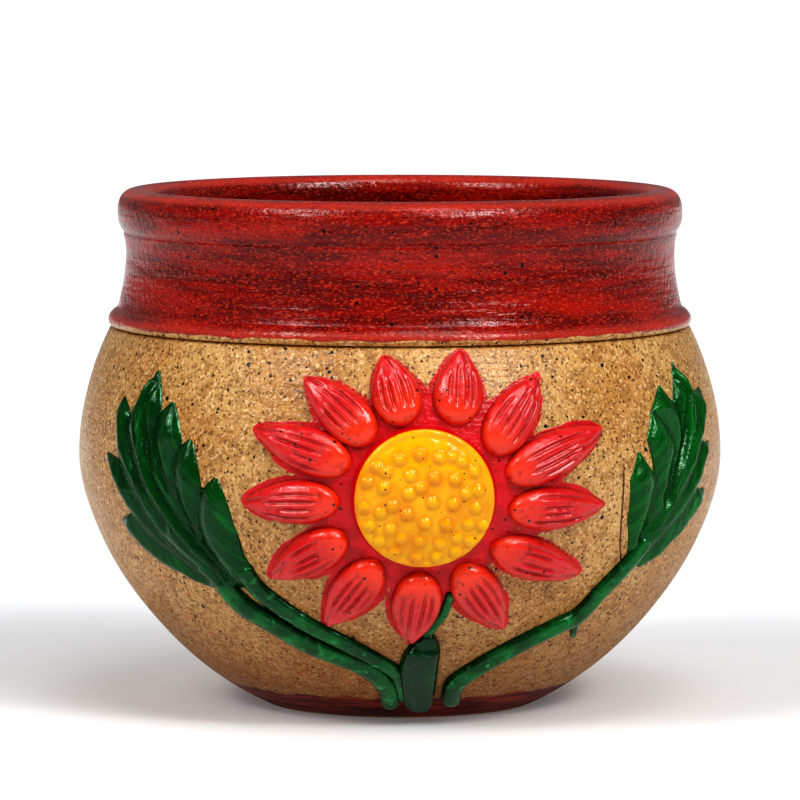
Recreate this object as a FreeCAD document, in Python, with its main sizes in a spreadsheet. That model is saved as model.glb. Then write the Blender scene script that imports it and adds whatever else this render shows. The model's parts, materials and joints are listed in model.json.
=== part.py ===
# Hand-built clay flower pot: a round belly with a flat base and a drain hole, a necked collar with a
# rolled rim, and a sunflower between two leaves in applied relief on the front.
# Lengths are millimetres and angles are degrees. +Z is up, the flower faces -Y, and the origin is
# the centre of the underside.
import FreeCAD, Part
import Sketcher
import math
import os

doc = FreeCAD.newDocument("flower_pot")

# Driving sizes, one row each in the spreadsheet
sizes = {
    # belly: widest at belly_height, round above and below it, flat underneath
    "belly_radius": 150,
    "belly_height": 117,
    "base_share": 0.42,
    "seam_share": 0.9,
    "seam_height": 176.4,
    "wall": 9,
    "floor_depth": 10,
    "drain_radius": 9,
    # collar: a bead over the seam, a waisted neck and a rolled rim, in shares of the pot's own sizes
    "rim_height": 240,
    "rim_width": 16,
    "rim_share": 0.877,
    "neck_share": 0.852,
    "waist_share": 0.7,
    "bead_share": 0.079,
    "bead_start": 37,
    "roll_share": 0.079,
    "roll_tuck": 55,
    "lip_share": 0.6,
    # relief: its reach goes with the belly's own size, and the flower sits a little to the right of
    # the front, at a share of the way up the belly's side
    "relief_share": 0.4596,
    "flower_turn": 4.1,
    "flower_share": 0.681,
}

# Sizes of the relief as shares of its reach; places on it are measured from the flower's centre
relief_shares = {
    "disc_radius_share": 0.2067,
    "disc_slope_share": 0.02,
    "disc_rise_share": 0.0433,
    "disc_dome_share": 0.5667,
    "petal_length_share": 0.2933,
    "petal_width_share": 0.1567,
    "petal_rise_share": 0.0433,
    "petal_dome_share": 0.32,
    "petal_gap_share": 0.0033,
    "left_leaf_around_share": -0.82,
    "left_leaf_along_share": 0.0133,
    "left_leaf_length_share": 0.6933,
    "left_leaf_spread_share": 0.6533,
    "right_leaf_around_share": 0.9133,
    "right_leaf_along_share": 0.0433,
    "right_leaf_length_share": 0.64,
    "right_leaf_spread_share": 0.4733,
    "leaf_rise_share": 0.024,
    "stem_reach_share": 0.8,
    "stem_radius_share": 0.028,
    "strand_radius_share": 0.0227,
    "shoot_radius_share": 0.0173,
    "stalk_radius_share": 0.016,
    "bud_around_share": 0.02,
    "bud_along_share": -0.6467,
    "bud_length_share": 0.38,
    "bud_width_share": 0.12,
    "bud_rise_share": 0.04,
    "bud_dome_share": 0.4,
    # how far a raw shape runs into the belly before it is trimmed to it
    "sink_share": 0.0933,
}

# Sizes that follow from the driving ones
derived = {
    "base_radius": "=base_share * belly_radius",
    "seam_radius": "=seam_share * belly_radius",
    "waist_radius": "=neck_share * belly_radius",
    "rim_radius": "=rim_share * belly_radius",
    "collar_height": "=rim_height - seam_height",
    "bead_round": "=bead_share * collar_height",
    "bead_place": "=seam_radius - bead_round * cos(bead_start)",
    "bead_height": "=seam_height + bead_round * sin(bead_start)",
    "bead_top": "=bead_height + bead_round",
    "lip_round": "=lip_share * rim_width",
    "lip_place": "=rim_radius - lip_round",
    "lip_height": "=rim_height - lip_round",
    "mouth_round": "=rim_width - lip_round",
    "mouth_height": "=rim_height - mouth_round",
    "roll_round": "=roll_share * collar_height",
    "roll_place": "=rim_radius - roll_round",
    "roll_height": "=lip_height - roll_round",
    "roll_foot": "=roll_height - roll_round * sin(roll_tuck)",
    "waist_height": "=bead_top + waist_share * (roll_foot - bead_top)",
    "relief_reach": "=relief_share * (belly_radius + seam_height)",
    **{name.removesuffix("_share"): "=%s * relief_reach" % name for name in relief_shares},
    "leaf_depth": "=sink + (left_leaf_length^2 + left_leaf_spread^2) / (8 * belly_radius)",
}

sheet = doc.addObject("Spreadsheet::Sheet", "Sizes")
rows = {**sizes, **relief_shares, **derived}
for row, (name, value) in enumerate(rows.items(), start=1):
    sheet.set("A%d" % row, name)
    sheet.set("B%d" % row, str(value))
    sheet.setAlias("B%d" % row, name)
doc.recompute()


def size(name):
    """A size's value, read from the sheet."""
    return float(sheet.get(name))


def origin_plane(body, role):
    """One of the body's own origin planes."""
    return [plane for plane in body.Origin.OriginFeatures if plane.Role == role][0]


def linked(text):
    """The formula text with every size in it read from the sheet."""
    for name in sorted(rows, key=len, reverse=True):
        text = text.replace("{%s}" % name, "Sizes." + name)
    return text


def corner(radius, height):
    """A corner of an outline: the formulas of its radius and its height."""
    return linked(radius), linked(height)


def on_curve(place, height, curve, angle):
    """The corner at the angle, up from level, on a curve about (place, height)."""
    return corner("%s + (%s) * cos(%s)" % (place, curve, angle), "%s + (%s) * sin(%s)" % (height, curve, angle))


def bands(place, height, curve, start, end, count):
    """Corners that turn round a small curve in straight bands."""
    share = ["%s + (%s - %s) * %d / %d" % (start, end, start, step, count) for step in range(count + 1)]
    return [on_curve(place, height, curve, angle) for angle in share]


class Outline:
    """A closed sketch whose corners and curves follow the sheet."""

    def __init__(self, body, name, plane="XZ_Plane"):
        self.sketch = body.newObject("Sketcher::SketchObject", name)
        self.sketch.AttachmentSupport = [(origin_plane(body, plane), "")]
        self.sketch.MapMode = "FlatFace"
        self.corners = []
        self.curves = {}

    def point(self, corner):
        return FreeCAD.Vector(*[float(self.sketch.evalExpression(text)) for text in corner], 0)

    def line_to(self, *corners):
        self.corners += corners

    def curve_to(self, corner, centre, curve):
        """Arc from the last corner to the next one, counter-clockwise about the centre."""
        self.curves[len(self.corners) - 1] = (centre, linked(curve))
        self.corners.append(corner)

    def curve_back(self, centre, curve):
        """Arc from the last corner to the first one, counter-clockwise about the centre."""
        self.curves[len(self.corners) - 1] = (centre, linked(curve))

    def bind(self, kind, target, text):
        if text == "0":
            axis = -2 if kind == "DistanceX" else -1
            self.sketch.addConstraint(Sketcher.Constraint("PointOnObject", *target, axis))
            return
        value = float(self.sketch.evalExpression(text))
        index = self.sketch.addConstraint(Sketcher.Constraint(kind, -1, 1, *target, value))
        self.sketch.setExpression("Constraints[%d]" % index, text)

    def close(self):
        """Draws the edges, joins them end to end and ties them to the sheet."""
        points = [self.point(corner) for corner in self.corners]
        ends = points[1:] + points[:1]
        for index, (start, end) in enumerate(zip(points, ends)):
            if index in self.curves:
                centre = self.point(self.curves[index][0])
                radius = float(self.sketch.evalExpression(self.curves[index][1]))
                angles = [math.atan2(spot.y - centre.y, spot.x - centre.x) for spot in (start, end)]
                circle = Part.Circle(centre, FreeCAD.Vector(0, 0, 1), radius)
                self.sketch.addGeometry(Part.ArcOfCircle(circle, *angles))
            else:
                self.sketch.addGeometry(Part.LineSegment(start, end))
        count = len(points)
        for index in range(count):
            self.sketch.addConstraint(Sketcher.Constraint("Coincident", index, 2, (index + 1) % count, 1))
            self.bind("DistanceX", (index, 1), self.corners[index][0])
            self.bind("DistanceY", (index, 1), self.corners[index][1])
        for index, (centre, curve) in self.curves.items():
            value = float(self.sketch.evalExpression(curve))
            place = self.sketch.addConstraint(Sketcher.Constraint("Radius", index, value))
            self.sketch.setExpression("Constraints[%d]" % place, curve)
        return self.sketch


def turned(body, sketch):
    """The sketch spun about the pot's axis."""
    spin = body.newObject("PartDesign::Revolution", body.Name + "_turned")
    spin.Profile = sketch
    spin.ReferenceAxis = (sketch, ["V_Axis"])
    spin.Angle = 360
    sketch.Visibility = False
    return spin


# The belly's outside in straight bands: lower corners as shares of the way out from the base and up
# to the widest level, upper ones as shares of the way out from the seam and up to it, each with the
# angle at which it faces, up from level; the hollow turns inwards behind one of them
lower_side_shares = [(0, 0, -65.6), (0.178, 0.069, -59), (0.344, 0.154, -52.4), (0.496, 0.252, -45.9),
                     (0.633, 0.362, -39.3), (0.751, 0.483, -32.7), (0.85, 0.613, -26.1),
                     (0.928, 0.751, -19.5), (0.984, 0.895, -13), (1, 1, -2)]
upper_side_shares = [(0.821, 0.385, 11.3), (0.489, 0.699, 18.6), (0, 1, 26)]
hollow_share = (0.633, 0.362, -39.3)


def lower_corner(share, rise):
    """Corner of the lower side at the share's place, pushed out by rise along the way it faces."""
    out, up, lean = share
    radius = "{base_radius} + ({belly_radius} - {base_radius}) * %s" % out
    return on_curve(radius, "{belly_height} * %s" % up, rise, "%s" % lean)


def upper_corner(share, rise):
    """Corner of the upper side at the share's place, pushed out by rise along the way it faces."""
    out, up, lean = share
    radius = "{seam_radius} + ({belly_radius} - {seam_radius}) * %s" % out
    return on_curve(radius, "{belly_height} + ({seam_height} - {belly_height}) * %s" % up, rise, "%s" % lean)


def belly_side(rise):
    """Corners of the belly's outside from the base to the seam, pushed out by rise."""
    lower = [lower_corner(share, rise) for share in lower_side_shares]
    return lower + [upper_corner(share, rise) for share in upper_side_shares]


def make_skin(name, rise):
    """The belly's outside pushed out by rise and filled to the axis, a tool for trimming relief."""
    body = doc.addObject("PartDesign::Body", name)
    outline = Outline(body, name + "_outline")
    outline.line_to(corner("0", "0"), *belly_side(rise), corner("0", "{seam_height}"))
    turned(body, outline.close())
    return body


# Belly: thrown bowl with a round outside, a thicker foot, a flat floor and a drain hole
def make_belly():
    body = doc.addObject("PartDesign::Body", "pot_belly")
    outline = Outline(body, "belly_outline")
    outline.line_to(corner("{drain_radius}", "0"), *belly_side("0"))
    outline.line_to(corner("{seam_radius} - {wall}", "{seam_height}"))
    outline.line_to(corner("{belly_radius} - {wall}", "{belly_height}"))
    outline.line_to(lower_corner(hollow_share, "-{wall}"))
    outline.line_to(corner("{base_radius}", "{floor_depth}"), corner("{drain_radius}", "{floor_depth}"))
    turned(body, outline.close())
    return body


# Collar: neck ring luted on the belly's rim, with a bead over the seam and a rolled lip
def make_collar():
    body = doc.addObject("PartDesign::Body", "pot_collar")
    outline = Outline(body, "collar_outline")
    outline.line_to(corner("{seam_radius} - {wall}", "{seam_height}"))
    outline.line_to(*bands("{bead_place}", "{bead_height}", "{bead_round}", "-{bead_start}", "90", 2))
    outline.line_to(corner("{waist_radius}", "{waist_height}"))
    outline.line_to(*bands("{roll_place}", "{roll_height}", "{roll_round}", "-{roll_tuck}", "0", 1))
    outline.line_to(*bands("{lip_place}", "{lip_height}", "{lip_round}", "0", "90", 2))
    outline.line_to(*bands("{lip_place}", "{mouth_height}", "{mouth_round}", "90", "180", 2)[1:])
    turned(body, outline.close())
    return body


def side_spots():
    """The corners of the belly's outside with the angle at which each one faces, up from level."""
    spots = [[float(sheet.evalExpression(text)) for text in corner] for corner in belly_side("0")]
    around = zip([spots[0], *spots], [*spots[1:], spots[-1]])
    return [(*spot, math.atan2(low[0] - high[0], high[1] - low[1])) for spot, (low, high) in zip(spots, around)]


def on_belly(around, along, rise=0):
    """Place on the belly, around it to the right and along its side upwards from the flower's
    centre, lifted by rise: the point, and the directions to the right, upwards and outwards."""
    steps = [math.dist(low[:2], high[:2]) for low, high in zip(side, side[1:])]
    left = along + size("flower_share") * sum(steps)
    index = 0
    while left > steps[index] and index < len(steps) - 1:
        left -= steps[index]
        index += 1
    share = left / steps[index]
    radius, height, tilt = [low + (high - low) * share for low, high in zip(side[index], side[index + 1])]
    turn = math.radians(size("flower_turn")) + around / radius
    level = FreeCAD.Vector(math.sin(turn), -math.cos(turn), 0)
    right = FreeCAD.Vector(math.cos(turn), math.sin(turn), 0)
    outward = level * math.cos(tilt) + FreeCAD.Vector(0, 0, math.sin(tilt))
    point = level * radius + FreeCAD.Vector(0, 0, height) + outward * rise
    return point, right, outward.cross(right), outward


def seat_placement(around, along, spin=0, rise=0):
    """Placement on the belly with X along the spin direction and Z outwards."""
    point, right, up, outward = on_belly(around, along, rise)
    forward = right * math.cos(math.radians(spin)) + up * math.sin(math.radians(spin))
    turn = FreeCAD.Rotation(forward, outward.cross(forward), outward, "ZXY")
    return FreeCAD.Placement(point, turn)


def joined(kind, name, base, tool):
    """Boolean of two objects, such as a trim of raw relief to what it sits on."""
    result = doc.addObject("Part::" + kind, name)
    result.Base = base
    result.Tool = tool
    return result


def trimmed(name, raw, *seats):
    """The raw shape cut by each seat in turn; the last cut carries the name."""
    for index, seat in enumerate(seats, start=1):
        last = index == len(seats)
        raw = joined("Cut", name if last else "%s_cut%d" % (name, index), raw, seat)
    return raw


def drop_body(name, length, width, wide_share):
    """Slab with the outline of a drop, point at +X, from four curves that meet at its ends and at
    its widest place; its mid plane is on XY."""
    body = doc.addObject("PartDesign::Body", name)
    outline = Outline(body, name + "_outline", "XY_Plane")
    front = "((%s) * %s)" % (length, 1 - wide_share)
    back = "((%s) * %s)" % (length, wide_share)
    half = "((%s) / 2)" % width
    curves = ["((%s^2 + %s^2) / (2 * %s))" % (reach, half, half) for reach in (front, back)]
    outline.line_to(corner(front, "0"))
    outline.curve_to(corner("0", half), corner("0", "%s - %s" % (half, curves[0])), curves[0])
    outline.curve_to(corner("-" + back, "0"), corner("0", "%s - %s" % (half, curves[1])), curves[1])
    outline.curve_to(corner("0", "-" + half), corner("0", "%s - %s" % (curves[1], half)), curves[1])
    outline.curve_back(corner("0", "%s - %s" % (curves[0], half)), curves[0])
    slab = body.newObject("PartDesign::Pad", name + "_slab")
    slab.Profile = outline.close()
    slab.setExpression("Length", "2 * Sizes.sink")
    slab.SideType = "Symmetric"
    return body


def placed(name, slab, placement, dome, rise):
    """The slab, placed on the belly, under a round dome whose top is at rise."""
    slab.Placement = placement
    ball = doc.addObject("Part::Sphere", name + "_ball")
    ball.setExpression("Radius", "Sizes." + dome)
    middle = placement.multVec(FreeCAD.Vector(0, 0, size(rise) - size(dome)))
    ball.Placement = FreeCAD.Placement(middle, FreeCAD.Rotation())
    return joined("Common", name, slab, ball)


# Disc: domed seed head in the middle of the flower, with a sloping edge
def make_disc(blank):
    slab = doc.addObject("Part::Cone", "disc_slab")
    slab.setExpression("Radius1", "Sizes.disc_radius")
    slab.setExpression("Radius2", "Sizes.disc_radius - Sizes.disc_slope")
    slab.setExpression("Height", "Sizes.disc_rise + Sizes.sink")
    raw = placed("disc_raw", slab, seat_placement(0, 0), "disc_dome", "disc_rise")
    slab.Placement = seat_placement(0, 0, 0, -size("sink"))
    return trimmed("flower_disc", raw, blank), slab


# Petals: thirteen domed drops round the disc, each with its own turn, gap and length
petal_shares = [
    # turn of its seat, turn of its point, gap to the disc and length as shares of petal_length
    (105, 104, 0.00, 0.80),
    (71, 88, 0.03, 0.84),
    (41, 58, 0.09, 0.93),
    (17, 22, 0.17, 1.15),
    (-5, 0, 0.16, 1.10),
    (-31, -18, 0.15, 1.08),
    (-61, -59, 0.07, 1.00),
    (-93, -96, 0.06, 0.95),
    (-124, -122, 0.07, 1.00),
    (-152, -148, 0.15, 0.96),
    (-178, -178, 0.14, 1.04),
    (157, 163, 0.06, 1.10),
    (134, 137, 0.02, 0.98),
]
petal_wide_share = 0.44
bud_wide_share = 0.5


def make_petals(blank, disc_slab):
    group = doc.addObject("Part::Compound", "petals")
    petals = []
    drops = []
    for number, (seat_turn, point_turn, gap_share, length_share) in enumerate(petal_shares, start=1):
        name = "petal_%02d" % number
        drop = drop_body(name + "_drop", "{petal_length} * %s" % length_share, "{petal_width}", petal_wide_share)
        back = petal_wide_share * length_share
        away = size("disc_radius") + size("petal_gap") + (gap_share + back) * size("petal_length")
        around = away * math.cos(math.radians(seat_turn))
        along = away * math.sin(math.radians(seat_turn))
        raw = placed(name + "_raw", drop, seat_placement(around, along, point_turn), "petal_dome", "petal_rise")
        petals.append(trimmed(name, raw, blank, disc_slab, *drops[-1:]))
        drops.append(drop)
    group.Links = petals
    return group, drops


# Leaves: lobed slabs of clay, flat on the belly, each cut to its own outline
left_leaf_shares = [
    # shares of the leaf's spread and length, from the tip clockwise
    (-0.10, 0.48), (-0.08, 0.31), (0.02, 0.35), (0.07, 0.18), (0.13, 0.20), (0.18, -0.01), (0.27, 0.04),
    (0.36, -0.16), (0.41, -0.30), (0.50, -0.45), (0.24, -0.49), (0.04, -0.43), (-0.13, -0.37),
    (-0.29, -0.28), (-0.40, -0.19), (-0.31, -0.15), (-0.48, 0.03), (-0.51, 0.10), (-0.39, 0.08),
    (-0.42, 0.22), (-0.43, 0.30), (-0.37, 0.34), (-0.31, 0.28),
]
right_leaf_shares = [
    # shares of the leaf's spread and length, from the tip clockwise
    (0.03, 0.50), (0.13, 0.43), (0.27, 0.34), (0.42, 0.35), (0.47, 0.26), (0.37, 0.11), (0.50, 0.10),
    (0.45, 0.03), (0.29, -0.11), (0.43, -0.13), (0.40, -0.19), (0.12, -0.35), (-0.13, -0.45),
    (-0.32, -0.50), (-0.46, -0.40), (-0.49, -0.23), (-0.49, -0.03), (-0.42, 0.10), (-0.26, 0.00),
    (-0.32, 0.16), (-0.27, 0.29), (-0.18, 0.40), (-0.01, 0.32),
]


def make_leaf(side, shares, leaf_skin, seats):
    """Prism through the outline wrapped on the belly, under the leaf's skin, trimmed to its seats."""
    around = size(side + "_leaf_around")
    along = size(side + "_leaf_along")
    seat = seat_placement(around, along, 0, -size("leaf_depth"))
    back = seat.inverse()
    corners = []
    for spread_share, length_share in shares:
        spot = on_belly(around + spread_share * size(side + "_leaf_spread"),
                        along + length_share * size(side + "_leaf_length"))[0]
        flat = back.multVec(spot)
        corners.append(FreeCAD.Vector(flat.x, flat.y, 0))
    face = Part.Face(Part.makePolygon([*corners, corners[0]]))
    slab = doc.addObject("Part::Feature", side + "_leaf_slab")
    slab.Shape = face.extrude(FreeCAD.Vector(0, 0, size("leaf_depth") + size("sink")))
    slab.Placement = seat
    raw = joined("Common", side + "_leaf_raw", slab, leaf_skin)
    return trimmed(side + "_leaf", raw, *seats), slab


# Stems: rolled coils of clay laid on the belly in short straight pulls
left_stem_shares = [(-0.79, -0.35), (-0.70, -0.46), (-0.57, -0.54), (-0.38, -0.64), (-0.21, -0.75),
                    (-0.11, -0.87), (-0.08, -1.03)]
left_strand_shares = [(-0.70, -0.29), (-0.62, -0.37), (-0.45, -0.50), (-0.27, -0.62), (-0.15, -0.73),
                      (-0.06, -0.83), (-0.045, -1.00)]
right_stem_shares = [(0.97, -0.21), (0.89, -0.29), (0.75, -0.42), (0.65, -0.52), (0.54, -0.58), (0.38, -0.67),
                     (0.24, -0.78), (0.15, -0.89), (0.14, -1.02)]
right_shoot_shares = [(0.63, -0.54), (0.645, -0.65)]
flower_stalk_shares = [(0.02, -0.62), (0.08, -0.49), (0.11, -0.38)]


def make_coil(name, shares, radius):
    """Round coil along the belly through places given as shares of stem_reach, half sunk in it."""
    places = [on_belly(around * size("stem_reach"), along * size("stem_reach")) for around, along in shares]
    points = [place[0] for place in places]
    ring = Part.makeCircle(size(radius), points[0], points[1] - points[0])
    coil = doc.addObject("Part::Feature", name + "_coil")
    coil.Shape = Part.Wire(Part.makePolygon(points)).makePipeShell([Part.Wire(ring)], True, False, 1)
    return coil


# Bud: long drop at the foot of the pot, between the stems
def make_bud(seats):
    drop = drop_body("bud_drop", "{bud_length}", "{bud_width}", bud_wide_share)
    placement = seat_placement(size("bud_around"), size("bud_along"), 90)
    return trimmed("bud", placed("bud_raw", drop, placement, "bud_dome", "bud_rise"), *seats), drop


side = side_spots()
blank = make_skin("belly_blank", "0")
leaf_skin = make_skin("leaf_skin", "{leaf_rise}")
belly = make_belly()
collar = make_collar()
disc, disc_slab = make_disc(blank)
petals, petal_drops = make_petals(blank, disc_slab)
left_coil = make_coil("left_stem", left_stem_shares, "stem_radius")
strand_coil = make_coil("left_strand", left_strand_shares, "strand_radius")
right_coil = make_coil("right_stem", right_stem_shares, "stem_radius")
shoot_coil = make_coil("right_shoot", right_shoot_shares, "shoot_radius")
stalk_coil = make_coil("flower_stalk", flower_stalk_shares, "stalk_radius")
left_stem = trimmed("left_stem", left_coil, blank)
right_stem = trimmed("right_stem", right_coil, blank)
right_shoot = trimmed("right_shoot", shoot_coil, blank, right_coil)
left_leaf, left_slab = make_leaf("left", left_leaf_shares, leaf_skin, [blank, left_coil])
right_leaf = make_leaf("right", right_leaf_shares, leaf_skin, [blank, right_coil])[0]
stalk_petal, bud_petal, strand_petal = petal_drops[6:9]
left_strand = trimmed("left_strand", strand_coil, blank, left_coil, left_slab, strand_petal)
bud, bud_drop = make_bud([blank, left_coil, strand_coil, right_coil, bud_petal])
flower_stalk = trimmed("flower_stalk", stalk_coil, blank, bud_drop, stalk_petal, bud_petal)
parts = [belly, collar, disc, petals, left_leaf, right_leaf, left_stem, left_strand, right_stem,
         right_shoot, bud, flower_stalk]
doc.recompute()

for item in doc.Objects:
    if "Invalid" in item.State or "Error" in item.State:
        raise RuntimeError("%s did not build: %s" % (item.Label, item.State))
for part in parts:
    if part.Shape.isNull() or not part.Shape.isValid():
        raise RuntimeError("%s has no valid shape" % part.Label)

os.makedirs("parts", exist_ok=True)
for part in parts:
    part.Shape.exportStep("parts/%s.step" % part.Label)
    print("%s: %d solids, %.1f cm3" % (part.Label, len(part.Shape.Solids), part.Shape.Volume / 1000))
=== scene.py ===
import json
import math
import random

import bmesh
import bpy
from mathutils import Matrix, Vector, noise
from mathutils.bvhtree import BVHTree

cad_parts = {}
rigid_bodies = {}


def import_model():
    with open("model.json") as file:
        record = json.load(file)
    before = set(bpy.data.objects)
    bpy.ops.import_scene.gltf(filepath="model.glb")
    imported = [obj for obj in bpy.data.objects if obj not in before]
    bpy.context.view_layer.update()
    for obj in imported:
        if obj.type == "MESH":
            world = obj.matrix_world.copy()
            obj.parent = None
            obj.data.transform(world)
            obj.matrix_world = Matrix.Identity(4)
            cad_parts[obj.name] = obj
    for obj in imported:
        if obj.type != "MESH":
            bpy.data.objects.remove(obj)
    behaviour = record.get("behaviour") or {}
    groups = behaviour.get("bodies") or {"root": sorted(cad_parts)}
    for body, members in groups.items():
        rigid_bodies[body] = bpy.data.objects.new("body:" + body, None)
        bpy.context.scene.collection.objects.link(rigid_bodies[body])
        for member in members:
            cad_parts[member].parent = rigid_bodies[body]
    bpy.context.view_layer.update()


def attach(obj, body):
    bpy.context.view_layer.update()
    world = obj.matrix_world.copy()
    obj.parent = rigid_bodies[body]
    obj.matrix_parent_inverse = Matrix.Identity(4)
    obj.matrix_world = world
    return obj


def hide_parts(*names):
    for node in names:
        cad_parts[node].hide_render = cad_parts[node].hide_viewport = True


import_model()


# Belly: a round bowl of grogged clay, thrown and burnished, with a flat foot and a drain hole.
# The clay is bare and sealed, full of dark and pale grit, with a brushed band of dark slip at the foot.
mm = 0.001
wall = 9 * mm
foot_radius = 63 * mm
drain_radius = 9 * mm
floor_depth = 10 * mm
widest = (150 * mm, 117 * mm)
seam = (135 * mm, 176.4 * mm)
foot_flare = (51.8 * mm, 23.5 * mm)
lower_fullness = (0, 34.5 * mm)
upper_fullness = (0, 21 * mm)
shoulder_lean = (-8.6 * mm, 17.6 * mm)
drain_bevel = 1 * mm
belly_steps = 512
wobble = 0.35 * mm
wobble_scale = Vector((14, 14, 40))


def swept(start, start_way, end, end_way, count):
    """Places along a smooth curve that leaves start along start_way and reaches end along end_way."""
    start, start_way, end, end_way = [Vector(item) for item in (start, start_way, end, end_way)]
    line = []
    for step in range(count):
        t = step / count
        line.append((1 - t) ** 3 * start + 3 * t * (1 - t) ** 2 * (start + start_way)
                    + 3 * t ** 2 * (1 - t) * (end - end_way) + t ** 3 * end)
    return line


def finished(name, shape):
    """The bmesh as a smooth object that belongs to the pot."""
    bmesh.ops.remove_doubles(shape, verts=shape.verts, dist=0.004 * mm)
    bmesh.ops.recalc_face_normals(shape, faces=shape.faces)
    mesh = bpy.data.meshes.new(name)
    shape.to_mesh(mesh)
    shape.free()
    mesh.shade_smooth()
    piece = bpy.data.objects.new(name, mesh)
    bpy.context.collection.objects.link(piece)
    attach(piece, "root")
    return piece


def spun(name, line, steps):
    """A closed outline of radius and height turned about the pot's axis, a little uneven as hand work is."""
    shape = bmesh.new()
    ring = [shape.verts.new((spot[0], 0, spot[1])) for spot in line]
    edges = [shape.edges.new(pair) for pair in zip(ring, ring[1:] + ring[:1])]
    bmesh.ops.spin(shape, geom=ring + edges, cent=(0, 0, 0), axis=(0, 0, 1), angle=math.tau, steps=steps,
                   use_merge=True)
    bmesh.ops.remove_doubles(shape, verts=shape.verts, dist=0.01 * mm)
    for spot in shape.verts:
        if spot.co.z > 1 * mm:
            level = Vector((spot.co.x, spot.co.y, 0)).normalized()
            spot.co += level * wobble * noise.noise(spot.co * wobble_scale)
    return finished(name, shape)


belly_line = [*swept((foot_radius, 0), foot_flare, widest, lower_fullness, 76),
              *swept(widest, upper_fullness, seam, shoulder_lean, 36), Vector(seam)]
seam_notch = [(seam[0] + 0.3 * mm, seam[1] - 1 * mm), (seam[0] - 0.9 * mm, seam[1] - 0.7 * mm),
              (seam[0] - 1.8 * mm, seam[1])]
mouth = (seam[0] - wall, seam[1])
hollow_widest = (widest[0] - wall, widest[1])
floor_rim = (foot_radius - 4 * mm, floor_depth)
hollow_line = [*swept(mouth, (8 * mm, -17 * mm), hollow_widest, (0, -20 * mm), 14),
               *swept(hollow_widest, (0, -36 * mm), floor_rim, (-42 * mm, -6 * mm), 26)]
drain_line = [(foot_radius - 12 * mm, floor_depth), (drain_radius + drain_bevel, floor_depth),
              (drain_radius, floor_depth - drain_bevel), (drain_radius, drain_bevel),
              (drain_radius + drain_bevel, 0), (foot_radius - 3 * mm, 0)]
belly = spun("belly", [*belly_line[:-1], *seam_notch, *hollow_line, *drain_line], belly_steps)


def shade(red, green, blue):
    """A colour given as screen values, for a shader."""
    return tuple(round((part / 255) ** 2.2, 4) for part in (red, green, blue)) + (1,)


class Finish:
    """A clay or glaze surface made of patterns that lie still on the pot. Its roughness is even unless
    dull spreads it."""

    def __init__(self, name, roughness, gloss, coat=0.0, coat_roughness=0.16):
        self.material = bpy.data.materials.new(name)
        self.material.use_nodes = True
        self.tree = self.material.node_tree
        self.shader = self.tree.nodes["Principled BSDF"]
        self.shader.inputs["Roughness"].default_value = roughness
        self.shader.inputs["Specular IOR Level"].default_value = gloss
        self.shader.inputs["Coat Weight"].default_value = coat
        self.shader.inputs["Coat Roughness"].default_value = coat_roughness
        spots = self.add("TexCoord", {})
        self.place = spots.outputs["Object"]
        self.facing = spots.outputs["Normal"]

    def add(self, kind, sockets, **options):
        """A node with its options set and its sockets given values or links."""
        step = self.tree.nodes.new("ShaderNode" + kind)
        for name, value in options.items():
            setattr(step, name, value)
        for name, value in sockets.items():
            if isinstance(value, bpy.types.NodeSocket):
                self.tree.links.new(value, step.inputs[name])
            else:
                step.inputs[name].default_value = value
        return step

    def drift(self, scale, stretch=(1, 1, 1), detail=3, shift=0, place=None):
        """Soft random pattern from 0 to 1, with scale spots to the metre."""
        moved = self.add("Mapping", {"Vector": place or self.place, "Scale": stretch,
                                     "Location": (shift, shift, shift)})
        pattern = self.add("TexNoise", {"Vector": moved.outputs[0], "Scale": scale, "Detail": detail})
        return pattern.outputs[0]

    def grit(self, scale, reach, share):
        """Round grains, scale cells to the metre, in a share of the cells, as 1 on the grains."""
        cells = self.add("TexVoronoi", {"Vector": self.place, "Scale": scale, "Randomness": 1})
        chance = self.add("SeparateColor", {"Color": cells.outputs["Color"]})
        chosen = self.sums("LESS_THAN", chance.outputs[0], share)
        size = self.sums("MULTIPLY", chance.outputs[1], reach)
        near = self.sums("LESS_THAN", cells.outputs["Distance"], size)
        return self.sums("MULTIPLY", chosen, near)

    def axis(self, letter, way=None):
        """How far along an axis a place is, or how much a way runs along it."""
        return self.add("SeparateXYZ", {"Vector": way or self.place}).outputs[letter]

    def stored(self, name):
        """A number kept on the mesh: a length in metres, or a share."""
        return self.add("Attribute", {}, attribute_name=name).outputs["Fac"]

    def sums(self, operation, first, second=0.0):
        return self.add("Math", {0: first, 1: second}, operation=operation).outputs[0]

    def rise(self, value, low, high):
        """0 where the value is at low and 1 where it is at high, with a soft run between."""
        step = {"Value": value, "From Min": low, "From Max": high}
        return self.add("MapRange", step, interpolation_type="SMOOTHSTEP").outputs[0]

    def mix(self, share, first, second):
        return self.add("Mix", {0: share, 6: first, 7: second}, data_type="RGBA").outputs[2]

    def tint(self, colour, pattern, low, high, share, other):
        """The colour with some of the other laid over it where the pattern runs from low to high."""
        return self.mix(self.sums("MULTIPLY", self.rise(pattern, low, high), share), colour, other)

    def cover(self, colour):
        self.tree.links.new(colour, self.shader.inputs["Base Color"])

    def relief(self, depth, *layers):
        """Fine unevenness from the layers, each a pattern and its weight."""
        total = None
        for pattern, weight in layers:
            part = self.sums("MULTIPLY", pattern, weight)
            total = part if total is None else self.sums("ADD", total, part)
        bump = self.add("Bump", {"Height": total, "Distance": depth, "Strength": 1.0})
        self.tree.links.new(bump.outputs[0], self.shader.inputs["Normal"])

    def dull(self, pattern, start, end, low, high):
        """Roughness runs from low to high as the pattern runs from start to end."""
        step = self.add("MapRange", {"Value": pattern, "From Min": start, "From Max": end,
                                     "To Min": low, "To Max": high})
        self.tree.links.new(step.outputs[0], self.shader.inputs["Roughness"])


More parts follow.
